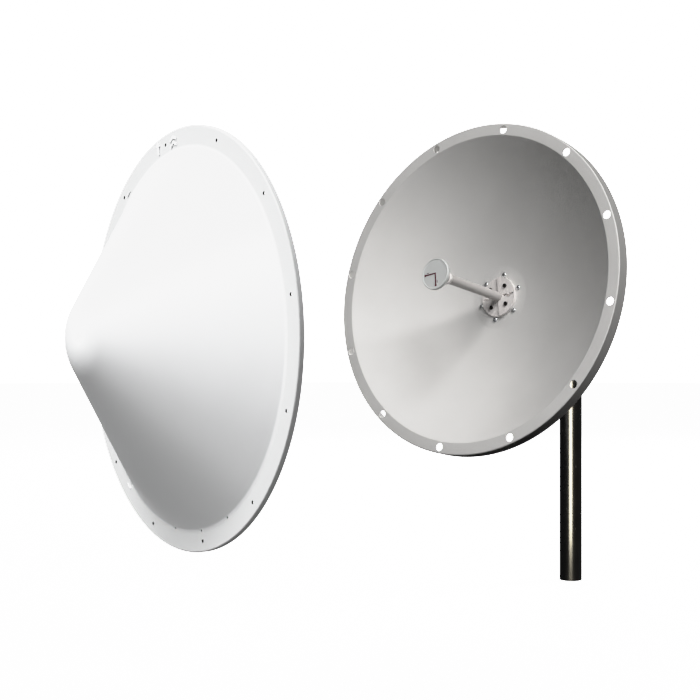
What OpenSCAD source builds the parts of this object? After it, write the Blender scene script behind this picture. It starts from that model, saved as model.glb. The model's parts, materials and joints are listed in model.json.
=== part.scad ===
// Solid parabolic dish antenna on a mast, with its cone radome standing off in front.
// Millimetres, +Z up. The origin is the centre of the mast's lower end. The dish looks towards -Y.

/* [Reflector] */
// Outside diameter over the turned-back edge
rim_d = 676; // [640:1:700]
// Width of the flat flange round the bowl
flange_w = 24; // [22:0.5:27]
// Depth of the bowl, from the flange to the flat at its centre
bowl_depth = 98; // [88:1:104]
// Thickness of the spun sheet
sheet_t = 2; // [1.5:0.1:2.5]
// Length of the turned-back edge
edge_depth = 28; // [20:1:32]
// Number of holes in the flange
rim_holes = 12; // [6:1:18]
// Diameter of each hole in the flange
rim_hole_d = 16; // [6:0.5:17]
// Turn of the dish's hole patterns from the top, clockwise from the front, in degrees
pattern_turn = 6.3; // [0:0.1:12]

/* [Hub] */
// Diameter of the flat at the bowl's centre
flat_d = 124; // [116:1:130]
// Circle of the domed bolts that hold the dish to its back plate
dish_bolt_circle_d = 94; // [94:0.5:96]
// Diameter of the two-piece hub plate
hub_plate_d = 82; // [78:1:83]
// Thickness of the hub plate's lower half
hub_plate_t = 3; // [2.5:0.1:3.5]
// How far the other half of the hub plate stands proud
hub_step = 4; // [1:0.1:5]

/* [Feed] */
// Outside diameter of the feed tube
tube_d = 19; // [18:0.5:20]
// Distance of the feed cap's face ahead of the flange
feed_ahead = 120; // [90:1:140]
// Diameter of the round feed cap
feed_cap_d = 62; // [56:1:66]
// Turn of the feed as set, anticlockwise from the front, in degrees
feed_turn = 11; // [-20:1:20]

/* [Mount] */
// Angle of the boresight above level as set, in degrees
rest_elevation = 10.5; // [0:0.5:20]
// Lowest boresight angle that the curved slots allow
lowest_elevation = -5; // [-5:1:0]
// Highest boresight angle that the curved slots allow
highest_elevation = 25; // [20:1:25]
// Distance of the tilt pivot ahead of the mast's axis
pivot_ahead = 115; // [112:1:125]
// Distance from the tilt pivot to the flange's plane
pivot_to_rim = 250; // [246:1:256]
// Height of the tilt pivot above the mast's lower end
pivot_height = 580; // [450:5:700]
// Outside half width of the tilt arm
arm_half_w = 57; // [56:0.5:60]
// Thickness of the bracket plates
plate_t = 5; // [4:0.5:5]

/* [Mast] */
// Outside diameter of the mast
mast_d = 48; // [46:0.5:50]
// Wall of the mast
mast_wall = 3; // [2:0.5:4]
// Height of the mast above the tilt pivot
mast_above = 100; // [80:5:140]

/* [Radome] */
// Height of the nose above the radome's flange
nose_height = 196; // [180:1:210]
// Radius of the rounded nose
nose_r = 105; // [60:1:130]
// Wall of the moulding
radome_wall = 3; // [2.5:0.1:4]
// Width of the radome's flange, outside its cone
radome_flange_w = 34; // [32:0.5:36]
// Depth of the skirt that fits over the dish's edge
skirt_depth = 9; // [7:1:20]
// Diameter of each screw hole
radome_hole_d = 5.6; // [3.5:0.1:6.5]
// Distance of the radome's flange ahead of the mast
radome_ahead = 1128; // [1100:1:1250]
// Height of the radome's centre above the mast's lower end
radome_height = 518; // [480:1:560]
// Sideways place of the radome's centre
radome_side = -4; // [-30:1:30]
// Turn of the radome about the vertical, in degrees
radome_yaw = -13.7; // [-20:0.1:20]
// Turn of the radome about its own axis, anticlockwise from the front, in degrees
radome_roll = 11; // [-15:0.5:15]

/* [Hidden] */

round_fn = 96;
fine_fn = 32;
hex = 6;
cut = 1;            // how far a cutter runs past a face
gap = 0.3;          // gap between parts of different bodies
play = 0.05;        // radial play of a running fit

// Reflector
rim_r = rim_d / 2;
bowl_r = rim_r - flange_w;
rim_hole_r = rim_r - 13;
flat_r = flat_d / 2;
rim_z = pivot_to_rim;
flat_z = rim_z - bowl_depth;
dish_curve = (pow(bowl_r, 2) - pow(flat_r, 2)) / bowl_depth;
edge_round = 2.6;
bowl_steps = 24;

// Stack behind the dish
back_plate_t = 4;
back_plate_z = flat_z - sheet_t - back_plate_t;
arm_z = back_plate_z - plate_t;
back_plate_r = 65;
journal_r = 32;
m6_hole_r = 3.3;
m6_r = 3;

// Feed
tube_r = tube_d / 2;
tube_wall = 2;
seat_z = flat_z + gap;
housing_front_t = 6;
cavity_z = seat_z - housing_front_t;
cavity_r = 25;
gasket_z = 74;
gasket_t = 1;
cover_t = 4;
cover_z = gasket_z - cover_t;
cover_screw_r = 28.5;
m3_r = 1.5;
plate_bolt_r = 27;
plate_screw_r = 2.5;
foot_r = 13;
foot_t = 2;
seal_t = 1;
cap_face_z = rim_z + feed_ahead;
cap_t = 5;
cap_r = feed_cap_d / 2;
cap_back_z = cap_face_z - cap_t;
back_disc_t = 2;
back_disc_z = cap_back_z - back_disc_t;
socket_offset = 15;
socket_thread_r = 7.9;
socket_flange_t = 3;
socket_length = 20;
lead_r = 1.8;
lead_offset = 3.6;

// Mount
arm_in = arm_half_w - plate_t;
yoke_in = arm_half_w + 0.5;
yoke_out = yoke_in + plate_t;
yoke_half_h = 55;
lock_radius = 45;
lock_bolt_r = 4;
slot_half_w = 4.4;
pivot_r = 5;
mast_r = mast_d / 2;
u_rod_r = 4;
u_bend_r = mast_r + gap + u_rod_r;
u_spread = 32;
saddle_t = 10;
yoke_back_y = -(mast_r + saddle_t + 0.5);
yoke_front_y = yoke_back_y - plate_t;
m8_nut_r = 7.5;
m8_washer_r = 8;
scale_t = 0.8;
scale_in_r = 54;
scale_out_r = 66;
scale_mid_r = 60;
scale_rivet_angles = [lowest_elevation - 2, highest_elevation + 2];
rivet_r = 1.6;

// Radome
radome_r = rim_r + 1 + radome_wall;
cone_r = radome_r - radome_flange_w;
root_r = 14;
radome_edge_r = 2.5;
nose_steps = 14;

module on_pivot() {
    translate([0, -pivot_ahead, pivot_height]) children();
}

// Local +Z runs out along the boresight from the tilt pivot, local +Y is up and local +X is world +X.
module boresight() {
    on_pivot() rotate([90 - rest_elevation, 0, 0]) children();
}

module feed_frame() {
    boresight() rotate([0, 0, feed_turn]) children();
}

// Local +Z runs out of the radome's nose, from the front of its flange.
module radome_frame() {
    translate([radome_side, -radome_ahead, radome_height])
        rotate([0, 0, radome_yaw]) rotate([90, 0, 0]) children();
}

// Repeats its children round Z, from the angle first
module ring_of(count, radius, first = 90) {
    for (i = [0:count - 1])
        rotate([0, 0, first + i * 360 / count]) translate([radius, 0, 0]) children();
}

module tube(r_out, r_in, low, high, fn = round_fn) {
    translate([0, 0, low]) difference() {
        cylinder(r = r_out, h = high - low, $fn = fn);
        translate([0, 0, -cut]) cylinder(r = r_in, h = high - low + 2 * cut, $fn = fn);
    }
}

module rod(radius, low, high, fn = fine_fn) {
    translate([0, 0, low]) cylinder(r = radius, h = high - low, $fn = fn);
}

// A hexagon nut with its low face at low
module hex_nut(corner_r, bore_r, low, height) {
    difference() {
        rod(corner_r, low, low + height, hex);
        rod(bore_r, low - cut, low + height + cut);
    }
}

// A low domed screw head that stands on z = low
module dome_head(radius, height, low) {
    ball = (radius * radius + height * height) / (2 * height);
    translate([0, 0, low]) rotate_extrude($fn = fine_fn) intersection() {
        translate([0, height - ball]) circle(r = ball, $fn = 64);
        square([radius, height]);
    }
}

// Stands an outline upright between x and x + thickness: outline +X turns to +Z, outline +Y stays
module stand_at(x, thickness) {
    translate([x, 0, 0]) multmatrix([[0, 0, 1, 0], [0, 1, 0, 0], [1, 0, 0, 0]])
        linear_extrude(thickness) children();
}

// ---- Mast ----

module mast() {
    color("black") tube(mast_r, mast_r - mast_wall, 0, pivot_height + mast_above);
}

// A moulded cap that slips over the mast's upper end
module mast_cap() {
    top = pivot_height + mast_above;
    skirt = 18;
    wall = 2.5;
    color("dimgray") {
        tube(mast_r + play + wall, mast_r + play, top - skirt, top);
        rod(mast_r + play + wall, top, top + wall, round_fn);
        dome_head(mast_r, 3, top + wall);
    }
}

// ---- Azimuth mount ----

module u_bolts() {
    leg_end = yoke_front_y - 14;
    color("silver") for (side = [-1, 1]) translate([0, 0, pivot_height + side * u_spread]) {
        rotate_extrude(angle = 180, $fn = round_fn) translate([u_bend_r, 0]) circle(r = u_rod_r, $fn = fine_fn);
        for (x = [-u_bend_r, u_bend_r])
            translate([x, 0, 0]) rotate([90, 0, 0]) rod(u_rod_r, 0, -leg_end);
    }
}

// Two V blocks between the mast and the yoke
module clamp_saddles() {
    half_w = u_bend_r + 8;
    half_h = 11;
    vee_angle = 60;
    vee_y = -(mast_r + gap) / sin(vee_angle);
    reach = half_w + 20;
    color("silver") for (side = [-1, 1]) translate([0, 0, pivot_height + side * u_spread]) difference() {
        translate([-half_w, yoke_back_y, -half_h]) cube([2 * half_w, -yoke_back_y - 12, 2 * half_h]);
        translate([0, 0, -half_h - cut]) linear_extrude(2 * (half_h + cut))
            polygon([[0, vee_y], [reach, vee_y + reach / tan(vee_angle)], [-reach, vee_y + reach / tan(vee_angle)]]);
        for (x = [-u_bend_r, u_bend_r])
            translate([x, 0, 0]) rotate([90, 0, 0]) rod(u_rod_r + gap, 0, -yoke_back_y + cut);
    }
}

// Places its children at the four U-bolt legs, with local +Z away from the mast
module at_u_legs() {
    for (side = [-1, 1], x = [-u_bend_r, u_bend_r])
        translate([x, 0, pivot_height + side * u_spread]) rotate([90, 0, 0]) children();
}

module u_bolt_washers() {
    color("silver") at_u_legs() tube(m8_washer_r, u_rod_r + gap, -yoke_front_y, -yoke_front_y + 1.6, fine_fn);
}

module u_bolt_nuts() {
    color("silver") at_u_legs() hex_nut(m8_nut_r, u_rod_r + play, -yoke_front_y + 1.6, 6.5);
}

// Outline of a yoke cheek about the pivot: +X is up and +Y runs back to the mast
module yoke_cheek_outline() {
    back = pivot_ahead + yoke_front_y;
    nose = 26;
    difference() {
        union() {
            circle(r = nose, $fn = round_fn);
            polygon([
                [-yoke_half_h, back], [yoke_half_h, back], [yoke_half_h, back - 22],
                [nose, 0], [-nose, 0], [-yoke_half_h + 6, back - 44], [-yoke_half_h, back - 22]
            ]);
        }
        circle(r = pivot_r + play, $fn = fine_fn);
        arc_slot(lock_radius, slot_half_w, lowest_elevation, highest_elevation);
    }
}

// Part of a flat ring between two boresight angles, on the mast's side of the pivot
module arc_band(r_in, r_out, low, high) {
    far = 2 * r_out;
    intersection() {
        difference() {
            circle(r = r_out, $fn = round_fn);
            circle(r = r_in, $fn = round_fn);
        }
        polygon([
            [0, 0],
            for (angle = [low, (low + high) / 2, high]) [-far * sin(angle), far * cos(angle)]
        ]);
    }
}

// A curved slot between two round ends that are a little wider than it
module arc_slot(radius, half_w, low, high) {
    band_half_w = half_w - 0.1;
    arc_band(radius - band_half_w, radius + band_half_w, low, high);
    for (angle = [low, high])
        rotate(angle) translate([0, radius]) circle(r = half_w, $fn = fine_fn);
}

module yoke() {
    color("silver") {
        difference() {
            translate([-yoke_out, yoke_front_y, pivot_height - yoke_half_h])
                cube([2 * yoke_out, plate_t, 2 * yoke_half_h]);
            at_u_legs() rod(u_rod_r + 0.5, -yoke_back_y - cut, -yoke_front_y + cut);
        }
        for (x = [yoke_in, -yoke_out])
            on_pivot() stand_at(x, plate_t) yoke_cheek_outline();
    }
}

// Places its children on both sides of the pivot, with local +Z outwards
module both_sides() {
    on_pivot() for (side = [-1, 1]) rotate([0, side * 90, 0]) children();
}

module pivot_bolts() {
    head_t = 6.4;
    color("silver") both_sides() {
        rod(pivot_r, arm_in - 14, yoke_out + 2);
        rod(9.8, yoke_out + 2, yoke_out + 2 + head_t, hex);
    }
}

module pivot_washers() {
    color("silver") both_sides() {
        tube(10, pivot_r + play, yoke_out, yoke_out + 2, fine_fn);
        tube(10, pivot_r + play, arm_in - gap - 2, arm_in - gap, fine_fn);
    }
}

module pivot_nuts() {
    color("silver") both_sides() hex_nut(9.8, pivot_r + play, arm_in - gap - 10, 8);
}

// A thin arc plate with a notch for every five degrees
module elevation_scale() {
    notch_w = 1;
    notch_depth = 4;
    color("white") on_pivot() stand_at(yoke_out, scale_t) difference() {
        arc_band(scale_in_r, scale_out_r, lowest_elevation - 5, highest_elevation + 5);
        for (angle = [lowest_elevation:5:highest_elevation])
            rotate(angle) translate([-notch_w / 2, scale_in_r - cut]) square([notch_w, notch_depth + cut]);
        for (angle = scale_rivet_angles)
            rotate(angle) translate([0, scale_mid_r]) circle(r = rivet_r, $fn = fine_fn);
    }
}

module scale_rivets() {
    color("silver") for (angle = scale_rivet_angles)
        on_pivot() rotate([-angle, 0, 0]) translate([yoke_out, scale_mid_r, 0]) rotate([0, 90, 0]) {
            rod(rivet_r - play, 0, scale_t);
            dome_head(2.6, 1.2, scale_t);
        }
}

// ---- Tilting arm and dish ----

// Outline of an arm cheek: X is along the boresight from the pivot, Y is up
module arm_cheek_outline() {
    difference() {
        union() {
            polygon([
                [arm_z, -52], [arm_z, 52], [arm_z - 25, 52], [20, 24], [-lock_radius, 14],
                [-lock_radius, -14], [20, -24], [arm_z - 25, -52]
            ]);
            translate([-lock_radius, 0]) circle(r = 14, $fn = fine_fn);
        }
        circle(r = pivot_r + play, $fn = fine_fn);
        translate([-lock_radius, 0]) circle(r = lock_bolt_r + gap, $fn = fine_fn);
        translate([arm_z - 36, -34]) circle(r = m6_hole_r, $fn = fine_fn);
    }
}

// A square with cut corners
module cut_square(half, corner_cut) {
    inner = half - corner_cut;
    polygon([
        [half, -inner], [half, inner], [inner, half], [-inner, half],
        [-half, inner], [-half, -inner], [-inner, -half], [inner, -half]
    ]);
}

module tilt_arm() {
    color("silver") boresight() {
        translate([0, 0, arm_z]) linear_extrude(plate_t) difference() {
            cut_square(arm_half_w, 5);
            circle(r = journal_r + 1, $fn = round_fn);
            ring_of(6, dish_bolt_circle_d / 2, 90 - pattern_turn) circle(r = m6_hole_r, $fn = fine_fn);
        }
        for (x = [arm_in, -arm_half_w]) stand_at(x, plate_t) arm_cheek_outline();
    }
}

// Places its children at a point of both arm cheeks, with local +Z outwards
module on_arm_sides(along, up) {
    for (side = [-1, 1])
        boresight() translate([0, up, along]) rotate([0, side * 90, 0]) children();
}

module lock_bolts() {
    color("silver") on_arm_sides(-lock_radius, 0) {
        rod(lock_bolt_r, arm_in - 11, yoke_out + gap + 1.6);
        rod(m8_nut_r, yoke_out + gap + 1.6, yoke_out + gap + 6.9, hex);
    }
}

module lock_washers() {
    color("silver") on_arm_sides(-lock_radius, 0) {
        tube(m8_washer_r, lock_bolt_r + play, yoke_out + gap, yoke_out + gap + 1.6, fine_fn);
        tube(m8_washer_r, lock_bolt_r + play, arm_in - 1.6, arm_in, fine_fn);
    }
}

module lock_nuts() {
    color("silver") on_arm_sides(-lock_radius, 0) hex_nut(m8_nut_r, lock_bolt_r + play, arm_in - 8.1, 6.5);
}

module at_earth_point() {
    boresight() translate([0, -34, arm_z - 36]) rotate([0, 90, 0]) children();
}

module earth_screw() {
    color("goldenrod") at_earth_point() {
        rod(m6_r, arm_in - 8, arm_half_w);
        tube(7, m6_r, arm_half_w, arm_half_w + 1.2, fine_fn);
        rod(5.8, arm_half_w + 1.2, arm_half_w + 5.2, hex);
    }
}

module earth_nut() {
    color("goldenrod") at_earth_point() hex_nut(5.8, m6_r + play, arm_in - 5, 5);
}

module back_plate() {
    color("silver") boresight() difference() {
        rod(back_plate_r, back_plate_z, back_plate_z + back_plate_t, round_fn);
        rod(journal_r, back_plate_z - cut, back_plate_z + back_plate_t + cut, round_fn);
        ring_of(6, dish_bolt_circle_d / 2, 90 - pattern_turn)
            rod(m6_hole_r, back_plate_z - cut, back_plate_z + back_plate_t + cut);
    }
}

// Height and slope of the parabola at the radius r
function bowl_z(r) = flat_z + (pow(r, 2) - pow(flat_r, 2)) / dish_curve;
function bowl_slope(r) = atan(2 * r / dish_curve);
function bowl_front() = [for (i = [0:bowl_steps])
    let (r = flat_r + (bowl_r - flat_r) * i / bowl_steps) [r, bowl_z(r)]];
function bowl_back() = [for (i = [bowl_steps:-1:0])
    let (r = flat_r + (bowl_r - flat_r) * i / bowl_steps, a = bowl_slope(r))
    [r + sheet_t * sin(a), bowl_z(r) - sheet_t * cos(a)]];
// Points of a rounded corner whose sharp corner would be at [r, z]
function corner(r, z, radius) = [for (i = [0:6])
    [r - radius + radius * sin(i * 15), z - radius + radius * cos(i * 15)]];

module reflector() {
    lip_z = rim_z - edge_depth;
    color("gainsboro") boresight() difference() {
        rotate_extrude($fn = 180) polygon(concat(
            [[journal_r + 0.5, flat_z]],
            bowl_front(),
            corner(rim_r, rim_z, edge_round),
            [[rim_r, lip_z], [rim_r - sheet_t, lip_z]],
            [[rim_r - sheet_t, rim_z - edge_round], [rim_r - edge_round, rim_z - sheet_t]],
            bowl_back(),
            [[flat_r, flat_z - sheet_t], [journal_r + 0.5, flat_z - sheet_t]]
        ));
        ring_of(rim_holes, rim_hole_r, 90 - pattern_turn)
            rod(rim_hole_d / 2, rim_z - 8, rim_z + cut, fine_fn);
        ring_of(6, dish_bolt_circle_d / 2, 90 - pattern_turn)
            rod(m6_hole_r, flat_z - sheet_t - cut, flat_z + cut);
    }
}

module at_dish_bolts() {
    boresight() ring_of(6, dish_bolt_circle_d / 2, 90 - pattern_turn) children();
}

module dish_bolts() {
    color("white") at_dish_bolts() {
        rod(m6_r, arm_z - 9, flat_z);
        dome_head(5.25, 3.3, flat_z);
    }
}

module dish_washers() {
    color("silver") at_dish_bolts() tube(6, m6_r + play, arm_z - 1.6, arm_z, fine_fn);
}

module dish_nuts() {
    color("silver") at_dish_bolts() hex_nut(5.77, m6_r + play, arm_z - 6.6, 5);
}

// ---- Feed ----

// A straight slot along +X with a half-round dip in its middle
module dipped_slot() {
    slot_w = 4;
    dip_x = 26;
    dip_r = 7;
    translate([14, -slot_w / 2]) square([dip_x - dip_r - 14 + slot_w, slot_w]);
    translate([dip_x + dip_r - slot_w, -slot_w / 2]) square([38 - dip_x - dip_r + slot_w, slot_w]);
    translate([dip_x, 0]) difference() {
        circle(r = dip_r, $fn = fine_fn);
        circle(r = dip_r - slot_w, $fn = fine_fn);
        translate([-dip_r - cut, slot_w / 2]) square([2 * (dip_r + cut), dip_r + cut]);
    }
}

// The half of the hub plate on the +X side. The seam between both halves is twice the split.
module half_plate_outline() {
    split = 0.4;
    difference() {
        intersection() {
            circle(r = hub_plate_d / 2, $fn = round_fn);
            translate([split, -hub_plate_d]) square([hub_plate_d, 2 * hub_plate_d]);
        }
        circle(r = tube_r + play, $fn = fine_fn);
        for (angle = [-45, 45])
            rotate(angle) translate([plate_bolt_r, 0]) circle(r = plate_screw_r + gap, $fn = fine_fn);
    }
}

module hub_plate_right() {
    color("white") feed_frame() translate([0, 0, seat_z]) linear_extrude(hub_plate_t + hub_step)
        difference() {
            half_plate_outline();
            dipped_slot();
        }
}

module hub_plate_left() {
    color("gainsboro") feed_frame() translate([0, 0, seat_z]) linear_extrude(hub_plate_t)
        difference() {
            mirror([1, 0]) half_plate_outline();
            mirror([1, 0]) dipped_slot();
        }
}

// Socket head screws, two on each level of the hub plate
module plate_bolts() {
    head_r = 4.25;
    head_t = 3;
    socket_r = 2.3;
    color("dimgray") feed_frame() for (angle = [-135, -45, 45, 135]) rotate([0, 0, angle]) {
        top = seat_z + hub_plate_t + (abs(angle) < 90 ? hub_step : 0);
        translate([plate_bolt_r, 0, 0]) difference() {
            union() {
                rod(plate_screw_r, seat_z - 5, top);
                rod(head_r, top, top + head_t);
            }
            rod(socket_r, top + 1, top + head_t + cut, hex);
        }
    }
}

// The cast body that turns in the back plate and carries the tube and both sockets
module feed_housing() {
    color("silver") feed_frame() difference() {
        union() {
            rod(journal_r - play, arm_z - 14, seat_z, round_fn);
            rod(journal_r - 1, gasket_z + gasket_t, arm_z - 13, round_fn);
        }
        rod(cavity_r, gasket_z, cavity_z, round_fn);
        rod(tube_r + play, cavity_z - cut, seat_z + cut);
        rod(foot_r + 0.1, seat_z - foot_t - seal_t, seat_z + cut);
        for (angle = [-135, -45, 45, 135]) rotate([0, 0, angle]) {
            translate([plate_bolt_r, 0, 0]) rod(plate_screw_r + play, seat_z - 5.2, seat_z + cut);
            translate([cover_screw_r, 0, 0]) rod(m3_r + play, gasket_z, gasket_z + 12);
        }
    }
}

module feed_lock_ring() {
    top = arm_z - gap;
    color("dimgray") feed_frame() difference() {
        tube(40, journal_r, top - 7, top);
        for (angle = [0:45:315]) rotate([0, 0, angle])
            translate([38, -3, top - 8]) cube([4, 6, 9]);
    }
}

module at_cover_screws() {
    feed_frame() ring_of(4, cover_screw_r, 45) children();
}

module cover_gasket() {
    color("black") difference() {
        feed_frame() tube(journal_r - 1, cavity_r, gasket_z, gasket_z + gasket_t);
        at_cover_screws() rod(m3_r + 0.1, gasket_z - cut, gasket_z + gasket_t + cut);
    }
}

// Places its children at the two sockets, with local +Z pointing back out of the cover
module at_sockets() {
    for (side = [-1, 1])
        feed_frame() translate([0, side * socket_offset, cover_z]) rotate([180, 0, 0]) children();
}

module rear_cover() {
    color("silver") difference() {
        feed_frame() rod(journal_r - 1, cover_z, gasket_z, round_fn);
        at_cover_screws() rod(m3_r + 0.1, cover_z - cut, gasket_z + cut);
        at_sockets() rod(6.1, -cover_t - cut, cut);
    }
}

module cover_screws() {
    color("silver") at_cover_screws() {
        rod(m3_r, cover_z, gasket_z + 10);
        rotate([180, 0, 0]) dome_head(2.8, 1.8, -cover_z);
    }
}

// N sockets: a hexagon flange, a threaded barrel and a back end through the cover
module socket_shells() {
    color("silver") at_sockets() difference() {
        union() {
            rod(6, -cover_t - 8, 0);
            rod(10.5, 0, socket_flange_t, hex);
            rod(socket_thread_r, socket_flange_t, socket_length);
        }
        rod(4.5, -cover_t - 8 - cut, 6);
        rod(5, 6, socket_length + cut);
    }
}

module socket_nuts() {
    color("silver") at_sockets() hex_nut(9, 6 + play, -cover_t - 4, 4);
}

module socket_insulators() {
    color("white") at_sockets() tube(4.45, 1.55, -cover_t - 8, 8, fine_fn);
}

module socket_contacts() {
    color("goldenrod") at_sockets() rod(1.5, -cover_t - 11, 14);
}

module tube_seal() {
    color("black") feed_frame() tube(foot_r, tube_r + play, seat_z - foot_t - seal_t, seat_z - foot_t);
}

module feed_tube() {
    color("white") feed_frame() difference() {
        union() {
            rod(tube_r, cavity_z - 2, back_disc_z, round_fn);
            rod(foot_r, seat_z - foot_t, seat_z, round_fn);
        }
        rod(tube_r - tube_wall, cavity_z - 2 - cut, back_disc_z + cut);
    }
}

// The small flared collar behind the feed cap
module tube_collar() {
    low = cap_face_z - 44;
    color("white") feed_frame() rotate_extrude($fn = round_fn) polygon([
        [tube_r + play, low], [tube_r + 1.2, low], [tube_r + 3.4, low + 6],
        [tube_r + 3.4, low + 9], [tube_r + play, low + 9]
    ]);
}

// Two coaxial leads, each from a socket's contact, on a slant to the middle and up the tube to the board
module coax_leads() {
    low_z = gasket_z + 12;
    bend_z = low_z + 10;
    top_z = cavity_z - 8;
    slant = atan2(socket_offset - lead_offset, top_z - bend_z);
    slant_l = norm([socket_offset - lead_offset, top_z - bend_z]);
    color("peru") feed_frame() for (turn = [0, 180]) rotate([0, 0, turn]) {
        translate([0, socket_offset, 0]) rod(lead_r, low_z, bend_z + 1);
        translate([0, socket_offset, bend_z]) rotate([slant, 0, 0]) rod(lead_r - 0.2, 0, slant_l);
        translate([0, lead_offset, 0]) rod(lead_r, top_z - 1, cap_back_z + 0.4);
    }
}

module feed_back_disc() {
    color("silver") feed_frame() difference() {
        rod(cap_r - 0.4, back_disc_z, cap_back_z, round_fn);
        rod(tube_r - tube_wall, back_disc_z - cut, cap_back_z + cut);
    }
}

module radiator_board() {
    color("seagreen") feed_frame() rod(cap_r - 3, cap_back_z + 0.4, cap_back_z + 2, round_fn);
}

// A shallow round cap with a thin raised edge
module feed_cap() {
    wall = 1.5;
    lip_w = 1.4;
    lip_h = 0.7;
    color("whitesmoke") feed_frame() difference() {
        union() {
            rod(cap_r, cap_back_z, cap_face_z, round_fn);
            tube(cap_r, cap_r - lip_w, cap_face_z - cut, cap_face_z + lip_h);
        }
        rod(cap_r - wall, cap_back_z - cut, cap_face_z - wall, round_fn);
    }
}

// A raised two-axis mark, with a dot at each end and a plain dash beside each arm
module axis_mark() {
    arm = 24;
    line_w = 2.5;
    color("maroon") feed_frame() translate([1, 1, cap_face_z]) linear_extrude(0.4) {
        for (turn = [180, 270]) rotate(turn) {
            translate([-line_w / 2, -line_w / 2]) square([arm + line_w / 2, line_w]);
            translate([arm, 0]) circle(r = 2.2, $fn = fine_fn);
        }
        translate([-20, 3]) square([5, 1]);
        translate([3.4, -20]) square([1, 5]);
    }
}

// ---- Radome ----

// Angle of the cone's side from the flange, for a side that just touches the nose's arc
function side_angle(base, height, nose) =
    atan2(height - nose, base) + asin(nose / norm([base, height - nose]));

// Points of the rounded nose, from where the side touches it to the tip
function nose_points(centre, nose, angle) = [for (i = [0:nose_steps])
    let (a = angle * (1 - i / nose_steps)) [nose * sin(a), centre + nose * cos(a)]];

// Points of the hollow curve between the flange and the side, from the flange up
function root_points(base, root_r, angle) = [for (i = [0:4])
    let (a = angle * i / 4)
    [base + root_r * (tan(angle / 2) - sin(a)), root_r * (1 - cos(a))]];

module radome_outline() {
    angle = side_angle(cone_r, nose_height, nose_r);
    centre = nose_height - nose_r;
    inner_base = cone_r - radome_wall * (sin(angle) - (1 - cos(angle)) / tan(angle));
    inner_nose = nose_points(centre, nose_r - radome_wall, angle);
    polygon(concat(
        [[radome_r - radome_wall, -radome_wall], [radome_r - radome_wall, -skirt_depth], [radome_r, -skirt_depth]],
        [for (i = [6:-1:0]) corner(radome_r, 0, radome_edge_r)[i]],
        root_points(cone_r, root_r, angle),
        nose_points(centre, nose_r, angle),
        [for (i = [nose_steps:-1:0]) inner_nose[i]],
        [[inner_base, -radome_wall]]
    ));
}

// The moulding, with its screw holes, three drain holes at the bottom, and raised marks on the flange
module radome_shell() {
    drain_step = 16;
    drain_r = 2;
    tick_r = 316;
    tick_w = 1.4;
    tick_half_l = 7;
    sunk = 1;
    mark_h = 2;
    color("white") radome_frame() rotate([0, 0, radome_roll]) {
        difference() {
            rotate_extrude($fn = 180) radome_outline();
            ring_of(rim_holes, rim_hole_r) rod(radome_hole_d / 2, -radome_wall - cut, cut);
            for (i = [-1:1]) rotate([0, 0, 270 + i * drain_step])
                translate([cone_r, 0, 0]) rod(drain_r, -radome_wall - cut, 8);
        }
        for (angle = [117, 221.5]) rotate([0, 0, angle])
            translate([tick_r, -tick_half_l, -sunk]) cube([tick_w, 2 * tick_half_l, sunk + mark_h]);
        translate([0, rim_hole_r, -sunk]) linear_extrude(sunk + mark_h) {
            translate([-24, 4]) raised_arrow();
            translate([28, -4]) raised_chevrons();
        }
    }
}

// An arrow that points to +Y
module raised_arrow() {
    polygon([[-2.4, -14], [2.4, -14], [2.4, -1], [6.4, -1], [0, 8], [-6.4, -1], [-2.4, -1]]);
}

// Two plain chevrons, one above the other
module raised_chevrons() {
    for (y = [-6, 3.5])
        polygon([[-10, y - 3], [0, y + 3], [10, y - 3], [10, y + 1.6], [0, y + 7.6], [-10, y + 1.6]]);
}

mast();
mast_cap();
u_bolts();
clamp_saddles();
u_bolt_washers();
u_bolt_nuts();
yoke();
pivot_bolts();
pivot_washers();
pivot_nuts();
elevation_scale();
scale_rivets();
tilt_arm();
lock_bolts();
lock_washers();
lock_nuts();
earth_screw();
earth_nut();
back_plate();
reflector();
dish_bolts();
dish_washers();
dish_nuts();
hub_plate_left();
hub_plate_right();
plate_bolts();
feed_housing();
feed_lock_ring();
cover_gasket();
rear_cover();
cover_screws();
socket_shells();
socket_nuts();
socket_insulators();
socket_contacts();
tube_seal();
feed_tube();
tube_collar();
coax_leads();
feed_back_disc();
radiator_board();
feed_cap();
axis_mark();
radome_shell();
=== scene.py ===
"""Solid parabolic dish antenna on a mast, with its cone radome standing off in front."""

import math

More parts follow.
